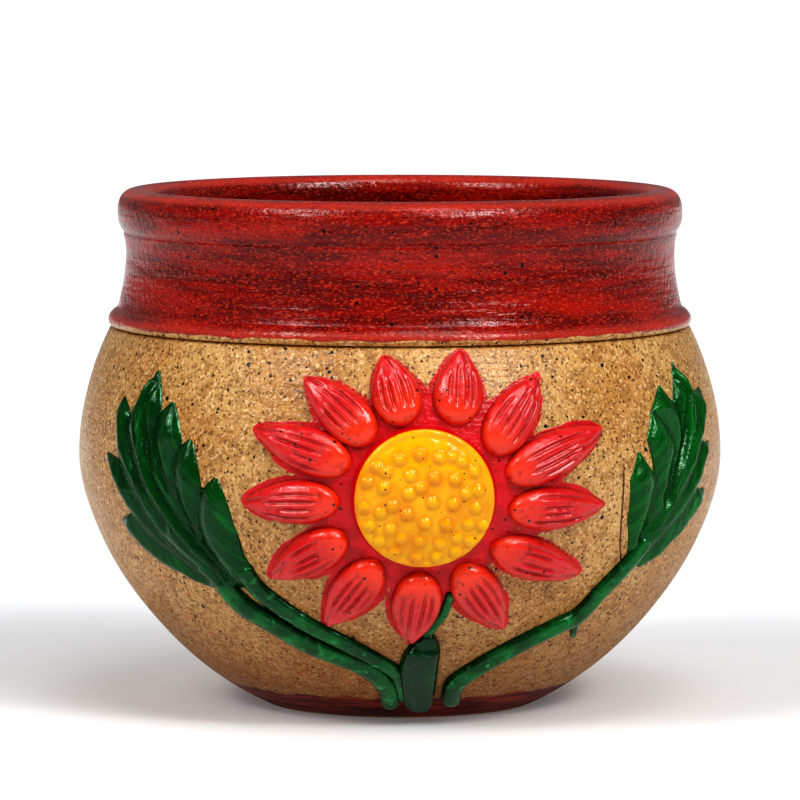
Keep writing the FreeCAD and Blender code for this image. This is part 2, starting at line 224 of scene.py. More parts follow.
def clay_colour(finish):
    """Tan clay, mottled, with pale and brown grains and black grit."""
    tan, buff, cream = shade(186, 134, 72), shade(204, 160, 100), shade(236, 206, 156)
    ochre, brown, rust = shade(152, 104, 54), shade(118, 76, 36), shade(78, 40, 16)
    soot, black = shade(26, 12, 8), shade(20, 10, 8)
    colour = finish.mix(finish.rise(finish.drift(18, detail=2), 0.35, 0.65), tan, buff)
    colour = finish.tint(colour, finish.drift(190), 0.45, 0.65, 0.6, ochre)
    colour = finish.tint(colour, finish.drift(560, detail=4), 0.5, 0.66, 0.75, brown)
    colour = finish.tint(colour, finish.drift(640, detail=4, shift=3), 0.54, 0.68, 0.7, cream)
    colour = finish.mix(finish.sums("MULTIPLY", finish.grit(640, 0.42, 0.5), 0.85), colour, rust)
    colour = finish.mix(finish.grit(430, 0.36, 0.16), colour, soot)
    return finish.mix(finish.grit(190, 0.22, 0.24), colour, black)


foot_band = 15 * mm
scribed_bottom = 74 * mm
scribed_top = 119 * mm
foot_shade_clay, scribed_clay = shade(112, 56, 0), shade(92, 54, 26)
slip_dark, slip_light = shade(80, 18, 4), shade(142, 50, 22)
red_deep, red_bright, red_pit = shade(186, 6, 20), shade(214, 16, 34), shade(60, 4, 8)

clay = Finish("speckled clay", 0.36, 0.45)
height = clay.axis("Z")
# painted shade: the bare clay is darkened towards the foot, where the belly's underside lies in shadow
bare = clay.tint(clay_colour(clay), height, 90 * mm, 12 * mm, 0.5, foot_shade_clay)
band_edge = clay.sums("ADD", height, clay.sums("MULTIPLY", clay.drift(90), 7 * mm))
above_band = clay.rise(band_edge, foot_band, foot_band + 0.6 * mm)
inside = clay.rise(clay.axis("Z", clay.facing), -0.02, 0.1)
underside = clay.rise(height, 1.3 * mm, 0.6 * mm)
left_bare = clay.sums("MAXIMUM", above_band, clay.sums("MAXIMUM", inside, underside))
dark_slip = clay.mix(clay.rise(clay.drift(40, (1, 1, 14), 4), 0.4, 0.62), slip_dark, slip_light)
body = clay.mix(left_bare, dark_slip, bare)

ragged = clay.sums("MULTIPLY", clay.drift(420, detail=2), 0.9 * mm)
wander = clay.sums("MULTIPLY", clay.rise(clay.drift(38, detail=2, shift=5), 0.42, 0.62), 1.5 * mm)
past_red = clay.sums("SUBTRACT", clay.stored("to_red"), clay.sums("ADD", wander, ragged))
red = clay.mix(clay.rise(clay.drift(120), 0.4, 0.6), red_deep, red_bright)
red = clay.mix(clay.grit(300, 0.22, 0.3), red, red_pit)
body = clay.mix(clay.rise(past_red, 0.3 * mm, 0.75 * mm), red, body)

scribed = clay.rise(clay.sums("ABSOLUTE", clay.stored("beside_line")), 0.7 * mm, 0.15 * mm)
for value, outside, within in ((height, scribed_top, scribed_top - 2 * mm),
                               (height, scribed_bottom, scribed_bottom + 2 * mm),
                               (clay.axis("Y"), 0.0, -20 * mm)):
    scribed = clay.sums("MULTIPLY", scribed, clay.rise(value, outside, within))
clay.cover(clay.mix(scribed, body, scribed_clay))
clay.relief(0.4 * mm, (clay.drift(520), 1.2), (clay.drift(60, (1, 1, 7)), 1.4), (scribed, -1.5))
near_foot = clay.sums("MULTIPLY", clay.rise(height, 110 * mm, 10 * mm), 0.8)
clay.dull(clay.sums("ADD", clay.drift(40), near_foot), 0.3, 1.5, 0.22, 0.7)
belly.data.materials.append(clay.material)
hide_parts("pot_belly")


# Collar: a ring of clay luted on the bowl, with a bead over the seam, a waisted neck and a rolled rim.
# It is brushed with deep red glossy slip inside and out, thin and paler on the bead and the top of the
# lip, where the paler red is also a painted highlight; the underside of the bead stays bare.
def through(points, count):
    """Places along a smooth line through the points, with count steps from each to the next."""
    ends = [points[0], *points, points[-1]]
    line = []
    for first, start, end, last in zip(ends, ends[1:], ends[2:], ends[3:]):
        start_way = (Vector(end) - Vector(first)) / 6
        end_way = (Vector(last) - Vector(start)) / 6
        line += swept(start, start_way, end, end_way, count)
    return [*line, Vector(points[-1])]


# radius and height in millimetres, from under the bead up the outside, over the lip and down inside;
# the ridge is a soft fold of clay under the lip
bead = [(126.2, 176.6), (130, 176.6), (134.4, 176.6), (135.6, 177.6), (136.1, 179.2), (135.6, 181.4),
        (133.9, 183.5), (132, 184.9)]
neck = [(131.1, 187.2), (130.3, 191), (129.2, 196.5), (128.4, 202), (127.9, 208), (127.9, 212),
        (128.2, 215.5)]
ridge = [(128.6, 217.4), (128.95, 218.9), (128.9, 220.4)]
lip = [(130.2, 222.4), (131.3, 225.4), (131.5, 229), (131.2, 233), (129.8, 236.6), (127.2, 239), (124, 239.9),
       (121, 239.9), (118.2, 238.6), (116.3, 236.2), (115.5, 233)]
neck_inside = [(115.8, 228), (117.6, 218), (118.9, 206), (120.4, 194), (123.2, 184)]
collar_steps = 320
collar_line = through([*bead, *neck, *ridge, *lip, *neck_inside], 4)
collar = spun("collar", [spot * mm for spot in collar_line], collar_steps)


def red_slip(finish):
    """Deep red slip, streaked round the pot by the brush, with orange flecks and dark pits."""
    streaks = finish.rise(finish.drift(30, (1, 1, 9), 5), 0.35, 0.65)
    colour = finish.mix(streaks, shade(98, 9, 4), shade(146, 20, 9))
    colour = finish.tint(colour, finish.drift(12, (1, 1, 5)), 0.5, 0.7, 0.6, shade(176, 34, 18))
    colour = finish.tint(colour, finish.drift(560, (1, 1, 2.5)), 0.53, 0.64, 0.6, shade(206, 74, 42))
    colour = finish.tint(colour, finish.drift(480, (1, 1, 2), shift=4), 0.54, 0.66, 0.6, shade(62, 4, 6))
    return finish.mix(finish.grit(260, 0.25, 0.25), colour, shade(30, 4, 4))


thin_and_highlight_red = shade(214, 78, 62)
bead_height = 180.6 * mm
lip_height = 238.2 * mm

glaze = Finish("red glaze", 0.3, 0.38)
height = glaze.axis("Z")
slip = red_slip(glaze)
# the bead and the top of the lip are paler: thin glaze, and a painted highlight
for thin_and_highlight_height, reach in ((bead_height, 3.2 * mm), (lip_height, 2.6 * mm)):
    away = glaze.sums("ABSOLUTE", glaze.sums("SUBTRACT", height, thin_and_highlight_height))
    slip = glaze.tint(slip, away, reach, 0, 0.42, thin_and_highlight_red)
slip_edge = glaze.sums("ADD", height, glaze.sums("MULTIPLY", glaze.drift(60), -3.4 * mm))
glaze.cover(glaze.mix(glaze.rise(slip_edge, 176.9 * mm, 177.4 * mm), clay_colour(glaze), slip))
glaze.relief(0.35 * mm, (glaze.drift(300), 1.5), (glaze.drift(24, (1, 1, 12), 4), 1.8))
glaze.dull(glaze.drift(30, (1, 1, 5)), 0.3, 0.7, 0.12, 0.3)
collar.data.materials.append(glaze.material)
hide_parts("pot_collar")


# Flower disc: a flat pat of clay pressed on the belly, domed, with round seeds raised by a tool inside a
# plain margin. The top is brushed with thick glossy yellow, and its sloping side with the petals' red.
flower_turn = math.radians(4.1)
flower_height = 110.4 * mm
lengths = [0]
for start, end in zip(belly_line, belly_line[1:]):
    lengths.append(lengths[-1] + (end - start).length)
flower_step = next(step for step, spot in enumerate(belly_line) if spot[1] > flower_height)
flower_along = lengths[flower_step] - (belly_line[flower_step][1] - flower_height)


def on_belly(around, along, lift):
    """A place on the belly, in millimetres to the right of the flower's centre, up along the belly's
    side from it, and out from the clay."""
    reach = min(max(along * mm + flower_along, 0), lengths[-1] - 0.01 * mm)
    low, high = 0, len(lengths) - 1
    while high - low > 1:
        middle = (low + high) // 2
        if lengths[middle] > reach:
            high = middle
        else:
            low = middle
    share = (reach - lengths[low]) / (lengths[high] - lengths[low])
    spot = belly_line[low].lerp(belly_line[high], share)
    way = belly_line[min(low + 2, len(lengths) - 1)] - belly_line[max(low - 1, 0)]
    out = Vector((way[1], -way[0])).normalized()
    turn = flower_turn + around * mm / spot[0]
    radius = spot[0] + out[0] * lift * mm
    return Vector((math.sin(turn) * radius, -math.cos(turn) * radius, spot[1] + out[1] * lift * mm))


def pressed(name, shape, depth=1.5):
    """A relief shape, flat in millimetres and open below, closed underneath and wrapped on the belly."""
    copy = bmesh.ops.duplicate(shape, geom=shape.verts[:] + shape.edges[:] + shape.faces[:])["geom"]
    for item in copy:
        if isinstance(item, bmesh.types.BMVert):
            item.co.z = -depth
    rims = [item for item in shape.edges if item.is_boundary]
    bmesh.ops.bridge_loops(shape, edges=rims)
    for spot in shape.verts:
        spot.co = on_belly(*spot.co)
    return finished(name, shape)


def hump(distance, reach):
    """1 at no distance, falling away like a bell over the reach."""
    return math.exp(-(distance / reach) ** 2)


# sizes and places in millimetres, from the flower's centre and out from the clay
dome_height = 6.2
dome_fall = 1.2
dome_radius = 30
dome_step = 0.5
welt_radius = 28.8
furrow_radius = 26.8
welt_width = 1.2
disc_side = [(30.1, 4.8), (30.6, 4.2), (31.2, 3.0), (32.0, 1.6), (32.6, 0.5), (32.8, -0.5)]
top_edge = 4.7
red_edge = 4.5
edge_pooled, side_pooled = 1, 2
disc_steps = 240
seed_radius = 3.1
seed_places = [(-11.0, 17.2), (-2.2, 19.4), (6.2, 18.1), (11.9, 18.5), (15.9, 16.3), (-16.7, 12.3),
               (-6.2, 10.6), (4.0, 9.3), (12.8, 8.8), (21.1, 11.9), (-17.6, 5.7), (-7.0, 3.1),
               (3.1, -0.4), (11.9, -1.3), (22.9, 4.0), (22.0, -3.1), (-26.2, -2.6), (-18.9, -4.8),
               (-7.5, -5.3), (0.0, -9.3), (9.3, -10.1), (18.9, -10.1), (-14.5, -11.9), (-9.7, -16.3),
               (-2.2, -17.6), (6.6, -18.5), (13.7, -15.9), (-23.6, -10.6), (-19.2, -17.6), (19.6, -17.9),
               (13.5, -22.8), (5.3, -25.0), (-3.5, -25.4), (-24.7, 7.9), (-20.6, 14.2), (-12.8, -22.8),
               (25.2, -10.8), (-13.8, -1.8), (-1.8, 5.6), (17.6, 3.0)]
random.seed(5)
seeds = [(*place, random.uniform(1.5, 2.1)) for place in seed_places]

disc_line = []
for step in range(int(dome_radius / dome_step)):
    out = step * dome_step
    disc_line.append((out, dome_height - dome_fall * (out / dome_radius) ** 2.4))
disc_line += disc_side
shape = bmesh.new()
ring = [shape.verts.new((spot[0], 0, spot[1])) for spot in disc_line]
edges = [shape.edges.new(pair) for pair in zip(ring, ring[1:])]
bmesh.ops.spin(shape, geom=ring + edges, cent=(0, 0, 0), axis=(0, 0, 1), angle=math.tau, steps=disc_steps,
               use_merge=True)
bmesh.ops.remove_doubles(shape, verts=shape.verts, dist=0.001)
pool_shade = shape.verts.layers.float.new("pooled_and_shade")
for spot in shape.verts:
    from_middle = math.hypot(spot.co.x, spot.co.y)
    if spot.co.z > top_edge:
        from_seed, size = min((math.hypot(spot.co.x - x, spot.co.y - y), size) for x, y, size in seeds)
        bulge = size * max(1 - (from_seed / seed_radius) ** 2, 0) ** 1.4
        welt = 0.5 * hump(from_middle - welt_radius, welt_width)
        furrow = 0.35 * hump(from_middle - furrow_radius, welt_width)
        uneven = 0.3 * noise.noise(Vector((spot.co.x, spot.co.y, 7)) * 0.25)
        spot.co.z += bulge + welt - furrow + uneven
        # pooled glaze and painted shade in a ring round the foot of each seed
        spot[pool_shade] = 0.42 * hump(from_seed - seed_radius, 0.8)
    else:
        spot[pool_shade] = side_pooled if spot.co.z < red_edge else edge_pooled
disc = pressed("flower_disc_seeds", shape)

lemon, amber, honey = shade(234, 174, 0), shade(228, 152, 0), shade(212, 112, 2)
burnt, side_red = shade(70, 30, 4), shade(196, 10, 26)
yellow = Finish("yellow glaze", 0.17, 0.38)
pooled_and_shade = yellow.stored("pooled_and_shade")
colour = yellow.mix(yellow.rise(yellow.drift(70), 0.4, 0.62), lemon, amber)
# honey round each seed: pooled glaze and painted shade at the foot of the bumps
colour = yellow.mix(yellow.sums("MULTIPLY", pooled_and_shade, 0.9), colour, honey)
colour = yellow.mix(yellow.grit(400, 0.2, 0.45), colour, burnt)
yellow.cover(yellow.mix(yellow.rise(pooled_and_shade, 1.05, 1.3), colour, side_red))
yellow.relief(0.4 * mm, (yellow.drift(260), 1.0))
disc.data.materials.append(yellow.material)
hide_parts("flower_disc")


# Petals: thirteen drops of clay pressed on round the disc, round at the inner end and pointed at the
# outer, each scored with a few strokes of a tool. Coral slip, more orange towards the disc.
petals = [
    # inner end, outer end and width, in millimetres from the flower's centre
    ((-8.3, 32.2), (-16.9, 64.2), 23), ((14.5, 32.2), (17.0, 66.3), 23.5), ((29.6, 19.6), (52.4, 53.4), 23.5),
    ((36.8, 9.2), (85.8, 28.2), 22), ((38, -6.1), (86.1, -5.8), 20.5), ((30.4, -23.2), (75.1, -38.7), 22),
    ((16.4, -32.0), (38.1, -67.9), 23), ((-0.4, -35.2), (-4.4, -75.8), 23.5),
    ((-20, -29.4), (-42.5, -65.1), 23), ((-34.1, -17.2), (-69.4, -38.7), 22),
    ((-37.4, -1.4), (-82.7, -2.8), 20.5), ((-32.2, 14.5), (-76.6, 29.5), 22),
    ((-22.3, 25.2), (-52.7, 53.7), 23),
]
petal_rows, petal_columns = 64, 48
petal_height = 6.3
petal_fullness = 2.5
keel_share = -0.35
stroke_shares = [(-0.6, -0.28, 0.04, 0.38), (-0.5, -0.16, 0.2, 0.56), (-0.44, -0.08, 0.3, 0.62)]

orange, coral_red, salmon = shade(230, 60, 20), shade(206, 28, 31), shade(224, 62, 56)
brick, groove_shade_red, pit_red = shade(150, 12, 16), shade(116, 6, 12), shade(50, 6, 8)
coral = Finish("petal glaze", 0.3, 0.55, 0.25)
away = coral.add("VectorMath", {0: coral.place, 1: on_belly(0, 0, 0)}, operation="DISTANCE").outputs["Value"]
away = coral.sums("ADD", away, coral.sums("MULTIPLY", coral.drift(60), 16 * mm))
colour = coral.mix(coral.rise(away, 46 * mm, 66 * mm), orange, coral_red)
colour = coral.tint(colour, coral.drift(240), 0.5, 0.7, 0.4, salmon)
colour = coral.tint(colour, coral.drift(300, shift=5), 0.54, 0.7, 0.5, brick)
# deep red in the strokes, along the keel and round the edges: pooled glaze and painted shade
colour = coral.mix(coral.sums("MULTIPLY", coral.stored("pooled_and_shade"), 0.8), colour, groove_shade_red)
coral.cover(coral.mix(coral.grit(300, 0.26, 0.4), colour, pit_red))
coral.relief(0.4 * mm, (coral.drift(300), 1.0))
coral.dull(coral.drift(50), 0.3, 0.7, 0.2, 0.36)


def strip(rows, columns, place):
    """A grid with each corner moved to place(along, across), both from 0 to 1, which also says how
    far the glaze pools there and how much painted shade is laid on."""
    shape = bmesh.new()
    pool_shade = shape.verts.layers.float.new("pooled_and_shade")
    bmesh.ops.create_grid(shape, x_segments=rows, y_segments=columns, size=0.5)
    for spot in shape.verts:
        *flat, spot[pool_shade] = place(spot.co.x + 0.5, spot.co.y + 0.5)
        spot.co = flat
    bmesh.ops.remove_doubles(shape, verts=shape.verts, dist=0.01)
    return shape


def rounded(distance, reach):
    """Height from 0 at an edge to 1 at reach inside it, round like a quarter of a ball."""
    left = 1 - min(max(distance / reach, 0), 1)
    return math.sqrt(1 - left * left)


def between_marks(value, start, end, run):
    """1 from start to end, fading to 0 over the run at either side."""
    return min(max((value - start) / run, 0), 1) * min(max((end - value) / run, 0), 1)


for number, (root, tip, width) in enumerate(petals, start=1):
    root, tip = Vector(root), Vector(tip)
    way = tip - root
    side = Vector((-way[1], way[0])).normalized()
    strokes = [(share + random.uniform(-0.06, 0.06), random.uniform(0.14, 0.26), random.uniform(0.6, 0.82),
                random.uniform(0.8, 1.3)) for share in random.choice(stroke_shares)]
    bend = random.uniform(-0.1, 0.1)

    def petal_place(along, across):
        along = 0.5 - 0.5 * math.cos(math.pi * along)
        across = across * 2 - 1
        half = width * 0.5 * petal_fullness * along ** 0.55 * (1 - along) ** 0.85
        lift = petal_height * rounded(1 - abs(across), 0.7) * rounded(along, 0.2)
        lift *= (0.3 + 0.7 * rounded(1 - along, 0.5)) * rounded(1 - along, 0.06)
        groove, ridge = 0, 0
        for share, start, end, depth in strokes:
            lies = between_marks(along, start, end, 0.12)
            off = abs(across - share - bend * along) * half
            groove = max(groove, depth * lies * hump(off, 0.65))
            ridge = max(ridge, 0.4 * lies * hump(off - 1.5, 0.6))
        keel = 0.8 * between_marks(along, 0.62, 1.2, 0.2) * hump((across - keel_share) * half, 0.9)
        spot = root + way * along + side * (across * half)
        lift = max(lift - groove - keel + ridge * lift / 6, 0)
        lift += 0.2 * noise.noise(Vector((*spot, number)) * 0.25)
        # the last value darkens the strokes, the keel and the edges: pooled glaze and painted shade
        return (*spot, lift, min(0.4 * groove + 0.7 * keel + 1 - rounded(1 - abs(across), 0.2), 1))

    petal = pressed("petal_%02d" % number, strip(petal_rows, petal_columns, petal_place))
    petal.data.materials.append(coral.material)
    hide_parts("petals")


# Leaves: lobed slabs cut from a sheet of clay and pressed on, with a raised midrib, creases that run from
# between the lobes down to the stem, and rounded lobes. Glossy green over the clay, which shows at the tips.
leaf_green, leaf_light, leaf_sheen = shade(0, 68, 18), shade(2, 94, 28), shade(30, 150, 60)
leaf_shadow, leaf_pool_shade, leaf_pit = shade(0, 30, 6), shade(0, 26, 8), shade(2, 18, 8)
green_gloss = (0.55, 1, 0.7, 1)
green = Finish("green glaze", 0.22, 0.5)
green.shader.inputs["Specular Tint"].default_value = green_gloss
up = green.sums("MULTIPLY", green.axis("Z"), 0.14)
grain = green.add("CombineXYZ", {"X": green.stored("from_rib"), "Y": up}).outputs[0]
colour = green.mix(green.rise(green.drift(420, detail=4, place=grain), 0.36, 0.66), leaf_green, leaf_light)
colour = green.tint(colour, green.axis("X"), 60 * mm, -100 * mm, 0.5, leaf_shadow)
colour = green.tint(colour, green.drift(340, detail=4, shift=2, place=grain), 0.55, 0.75, 0.35, leaf_sheen)
# darker in the creases and beside the midrib: pooled glaze and painted shade
colour = green.mix(green.sums("MULTIPLY", green.stored("pooled_and_shade"), 0.75), colour, leaf_pool_shade)
colour = green.mix(green.grit(320, 0.2, 0.2), colour, leaf_pit)
from_bare = green.sums("ADD", green.stored("from_tip"), green.sums("MULTIPLY", green.drift(300), 2 * mm))
green.cover(green.mix(green.rise(from_bare, 2.2 * mm, 2.8 * mm), clay_colour(green), colour))
green.relief(0.36 * mm, (green.drift(420, detail=4, place=grain), 0.9), (green.drift(500), 0.5))
green.dull(green.drift(60), 0.3, 0.7, 0.1, 0.2)

# places in millimetres from the flower's centre; the tips are corners of the outline
left_leaf = {
    "outline": [(-133.3, 54.4), (-130.4, 34.7), (-122.2, 40.2), (-116.5, 21.1), (-111, 24.4), (-105.4, 0.7),
                (-97.3, 8.2), (-87.9, -14.3), (-82.9, -29.2), (-73.9, -44.8), (-99.2, -48.7), (-119.3, -42.3),
                (-135.6, -36.7), (-151.8, -27.4), (-164.8, -18.5), (-153.3, -13.6), (-170.3, 4.9),
                (-175.4, 13), (-161.6, 10.1), (-164.6, 24.5), (-165.6, 33.5), (-160.8, 39.8), (-153.6, 31.2)],
    "tips": [0, 2, 4, 6, 14, 17, 21],
    "midrib": [(-136.5, 47), (-140.8, 38), (-141.7, 23.9), (-136.6, 5.2), (-125.6, -8.9), (-111.3, -23.8),
               (-97.8, -35.9), (-88, -43.5)],
    "creases": [[(-130.5, 34.7), (-134.5, 21.3), (-128.4, 6.6), (-116.9, -9), (-108, -19)],
                [(-116.6, 21.1), (-122.3, 10), (-118.9, -5.1), (-109.2, -21)],
                [(-105.4, 0.7), (-108.3, -10.8), (-104.3, -24.8), (-95, -37.4)],
                [(-153.6, 31.2), (-154.3, 22.9), (-146.7, 8.2), (-137.1, -5), (-126, -16)],
                [(-161.6, 10.1), (-155.1, 2.9), (-143.9, -10.6), (-127, -26.9), (-110, -38)],
                [(-153.3, -13.6), (-139.1, -23.8), (-120.7, -33.4), (-102.3, -45.2)]],
}
right_leaf = {
    "outline": [(140.8, 56.4), (137, 36.7), (126.4, 46.4), (118.6, 34), (114.6, 21.5), (119.1, 6.5),
                (108.5, 17.8), (102.9, 3.8), (102.4, -15), (104.6, -31.3), (114.5, -40.8), (128, -36.6),
                (145.8, -26.6), (168.6, -11.5), (170, -5.3), (157.9, -4.1), (169.3, 9.3), (176, 16),
                (163.5, 17.4), (172.6, 32), (169.8, 41.8), (156.6, 38.8), (147.4, 49)],
    "tips": [0, 2, 6, 14, 17, 20],
    "midrib": [(141, 50), (147.4, 40), (147.5, 27.6), (145.2, 17.4), (137.8, 3.2), (128.4, -10.6),
               (117.4, -21.7), (111, -30), (105.5, -37)],
    "creases": [[(137, 36.7), (141.1, 28.9), (140.5, 17.8), (133.4, 5.1), (127, -5)],
                [(118.6, 34), (127.8, 26.9), (134, 19.8), (134.9, 12.3), (130, 2)],
                [(119.1, 6.5), (120.1, -1.2), (117.2, -12.7), (111.5, -24)],
                [(156.6, 38.8), (158.7, 27.4), (151.1, 16.8), (143.8, 7.1), (136, -3)],
                [(163.5, 17.4), (154, 6.2), (141.8, -4.7), (129.5, -16.4), (119, -26)],
                [(157.9, -4.1), (147.3, -13.2), (132.4, -22.5), (114, -35)]],
}
leaf_step = 1.0
bow_share = 0.12
rim_widths = (0.5, 0.8)
crease_height = 0.6
lobe_height = 3.4
lobe_reach = 7
rib_height = 1.9
rib_width = 1.3
rib_groove = 2.8
edge_reach = 2.5
tip_reach = 12


def to_line(spot, line):
    """The distance from a flat place to a line of short pulls."""
    least = math.inf
    for start, end in zip(line, line[1:]):
        pull = (end[0] - start[0], end[1] - start[1])
        gone = (spot[0] - start[0]) * pull[0] + (spot[1] - start[1]) * pull[1]
        gone = min(max(gone / (pull[0] ** 2 + pull[1] ** 2), 0), 1)
        nearest_spot = (start[0] + gone * pull[0], start[1] + gone * pull[1])
        least = min(least, math.dist(spot, nearest_spot))
    return least


def bowed(outline):
    """The outline with each long side bowed out a little."""
    line = []
    for start, end in zip(outline, outline[1:] + outline[:1]):
        pull = Vector(end) - Vector(start)
        out = Vector((-pull[1], pull[0]))
        for share in (0, 0.25, 0.5, 0.75):
            line.append(tuple(Vector(start) + pull * share + out * bow_share * share * (1 - share)))
    return line


def cut_sheet(outline):
    """A flat sheet with the outline and a narrow rim, cut both ways into small squares."""
    shape = bmesh.new()
    sheet = shape.faces.new([shape.verts.new((*spot, 0)) for spot in outline])
    for width in rim_widths:
        bmesh.ops.inset_individual(shape, faces=[sheet], thickness=width, use_even_offset=True)
    for axis in range(2):
        values = [spot[axis] for spot in outline]
        place = min(values) + leaf_step
        while place < max(values):
            spot, way = [0, 0, 0], [0, 0, 0]
            spot[axis], way[axis] = place, 1
            everything = shape.verts[:] + shape.edges[:] + shape.faces[:]
            bmesh.ops.bisect_plane(shape, geom=everything, dist=0.02, plane_co=spot, plane_no=way)
            place += leaf_step
    return shape


for name, leaf in (("left_leaf", left_leaf), ("right_leaf", right_leaf)):
    outline = bowed(leaf["outline"])
    closed = [*outline, outline[0]]
    tips = [leaf["outline"][corner] for corner in leaf["tips"]]
    rib = through(leaf["midrib"], 4)
    creases = [through(line, 4) for line in leaf["creases"]]
    shape = cut_sheet(outline)
    pool_shade = shape.verts.layers.float.new("pooled_and_shade")
    from_rib_layer = shape.verts.layers.float.new("from_rib")
    for spot in shape.verts:
        flat = (spot.co.x, spot.co.y)
        from_edge = to_line(flat, closed)
        from_rib = to_line(flat, rib)
        from_crease = min(to_line(flat, line) for line in creases)
        from_tip = min(math.dist(flat, tip) for tip in tips)
        lobe = min(from_crease, from_edge + 1, lobe_reach) / lobe_reach
        lift = crease_height + lobe_height * lobe ** 0.8
        lift += rib_height * hump(from_rib, rib_width) - 1.2 * hump(from_rib - rib_groove, 0.9)
        lift = max(lift, 0.4) * rounded(from_edge, edge_reach) ** 1.2
        lift *= 0.5 + 0.5 * min(from_tip / tip_reach, 1)
        spot.co.z = lift + 0.25 * noise.noise(Vector((*flat, 3)) * 0.2)
        # pooled glaze and painted shade in the creases and the groove beside the midrib
        spot[pool_shade] = min(hump(from_crease, 0.8) + 0.7 * hump(from_rib - rib_groove, 0.7), 1)
        spot[from_rib_layer] = from_rib * mm
    piece = pressed(name + "_slab", shape)
    ends = [on_belly(*spot, 0.5) for spot in tips]
    to_tip = [min((spot.co - end).length for end in ends) for spot in piece.data.vertices]
    piece.data.attributes.new("from_tip", "FLOAT", "POINT").data.foreach_set("value", to_tip)
    piece.data.materials.append(green.material)
    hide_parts(name)


# Stems, shoot, bud and stalk: rolled coils of clay pressed on from the leaves down to the foot, and a
# long flat bud between them. Painted with the same green, a little glossier than on the leaves.
stem_green, stem_light, stem_sheen = shade(0, 60, 22), shade(4, 102, 42), shade(60, 176, 96)
stem_pool_shade = shade(0, 24, 12)
painted = Finish("stem glaze", 0.22, 0.6)
painted.shader.inputs["Specular Tint"].default_value = green_gloss
colour = painted.mix(painted.rise(painted.drift(70, (1, 1, 1.4), 4), 0.42, 0.64), stem_green, stem_light)
colour = painted.tint(colour, painted.drift(240), 0.56, 0.72, 0.45, stem_sheen)
# darker down the coils' sides (pooled glaze and painted shade) and evenly over the bud
colour = painted.mix(painted.sums("MULTIPLY", painted.stored("pooled_and_shade"), 0.85), colour, stem_pool_shade)
painted.cover(painted.mix(painted.grit(320, 0.2, 0.2), colour, leaf_pit))
painted.relief(0.3 * mm, (painted.drift(240), 1.0))
painted.dull(painted.drift(60), 0.3, 0.7, 0.1, 0.2)

coil_columns = 18
coils = [
    # name, CAD node, places, radius at the upper and lower end, how far the coil's middle stands out
    ("left_coil", "left_stem",
     [(-94.3, -42.5), (-83.8, -55), (-67.9, -65.3), (-47.2, -79), (-25.3, -90.9), (-13.8, -104.9),
      (-9.9, -124)],
     4.7, 4.5, 1.6),
    ("left_upper_coil", "left_strand",
     [(-83.4, -35.3), (-75.5, -46.3), (-55.5, -62.6), (-34.2, -76.4), (-19, -87.8), (-8.6, -99),
      (-5.2, -120.7)],
     4.4, 3.3, 0.6),
    ("right_coil", "right_stem",
     [(116.5, -24.8), (106.8, -34.6), (89.8, -50.1), (77.9, -63.2), (65.6, -69.3), (46.3, -79.7), (28.9, -93),
      (18.3, -105.8), (17, -122.9)],
     3.4, 4.6, 1.5),
    ("right_shoot_coil", "right_shoot", [(76.5, -63.5), (77.2, -70), (77.4, -78.4)], 2.8, 1.4, 0.6),
    ("stalk_coil", "flower_stalk", [(13.1, -46.4), (10.1, -59), (5.2, -67), (1.9, -74.2)], 2.0, 2.6, 0.5),
]
for name, node, places, upper, lower, out in coils:
    line = through(places, 8)

    def coil_place(along, across):
        step = along * (len(line) - 1)
        spot = line[int(step)]
        following = line[min(int(step) + 1, len(line) - 1)]
        before = line[max(int(step) - 1, 0)]
        side = Vector((before[1] - following[1], following[0] - before[0])).normalized()
        turn = math.pi * across
        radius = (upper + (lower - upper) * along) * (0.35 + 0.65 * rounded(along, 0.05))
        radius *= 0.2 + 0.8 * rounded(1 - along, 0.04)
        radius *= 1 + 0.06 * noise.noise(Vector((along * 9, out, 0)))
        lift = out + radius * math.sin(turn) * 0.9
        place = spot.lerp(following, step - int(step)) - side * math.cos(turn) * radius
        # the last value darkens the coil's sides down to the belly and leaves the top light: pooled glaze and
        # painted shade
        return (*place, lift if 0 < across < 1 else 0, (1 - math.sin(turn)) ** 2)

    coil = pressed(name, strip(len(line) - 1, coil_columns, coil_place))
    coil.data.materials.append(painted.material)
    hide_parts(node)

bud_places = [(3.6, -70.5), (3.0, -76), (1.8, -84), (0.9, -94), (1.2, -105), (1.8, -115), (2.3, -122),
              (2.4, -127.6)]
# half the bud's width at each place, with a nought beside it because through takes flat places
bud_halves = [(2.5, 0), (6, 0), (8.5, 0), (9.1, 0), (8.6, 0), (7.6, 0), (6.8, 0), (4.6, 0)]
bud_columns = 28
bud_height = 5.4
# the whole bud is darkened evenly by this share of the dark green
bud_darkening = 0.85
bud_line = through(bud_places, 6)
half_line = through(bud_halves, 6)


def bud_place(along, across):
    step = min(int(along * (len(bud_line) - 1)), len(bud_line) - 1)
    half = half_line[step][0] * rounded(1 - along, 0.08)
    across = across * 2 - 1
    lift = bud_height * rounded(1 - abs(across), 0.55) * rounded(along, 0.25) * rounded(1 - along, 0.1)
    lift -= 0.9 * hump(across * half + 4.2, 1.1) * rounded(along, 0.3)
    return (bud_line[step][0] + across * half, bud_line[step][1], max(lift, 0), bud_darkening)


bud = pressed("bud_drop", strip(len(bud_line) - 1, bud_columns, bud_place))
bud.data.materials.append(painted.material)
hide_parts("bud")


# Slip round the relief: red brushed past the petals and over the ring round the disc, and a line scribed
# in the clay beside the right leaf. The belly carries how far each is.
scribed_places = [(99.3, 9), (99, -2), (98.8, -16), (99.5, -28), (101.5, -36)]
ring_reach = 11 * mm
far = 40 * mm
floor_reach = 50 * mm
# the wall turns away beside the leaf, so a step to the right is this much longer along the clay
turning_away = 1.3


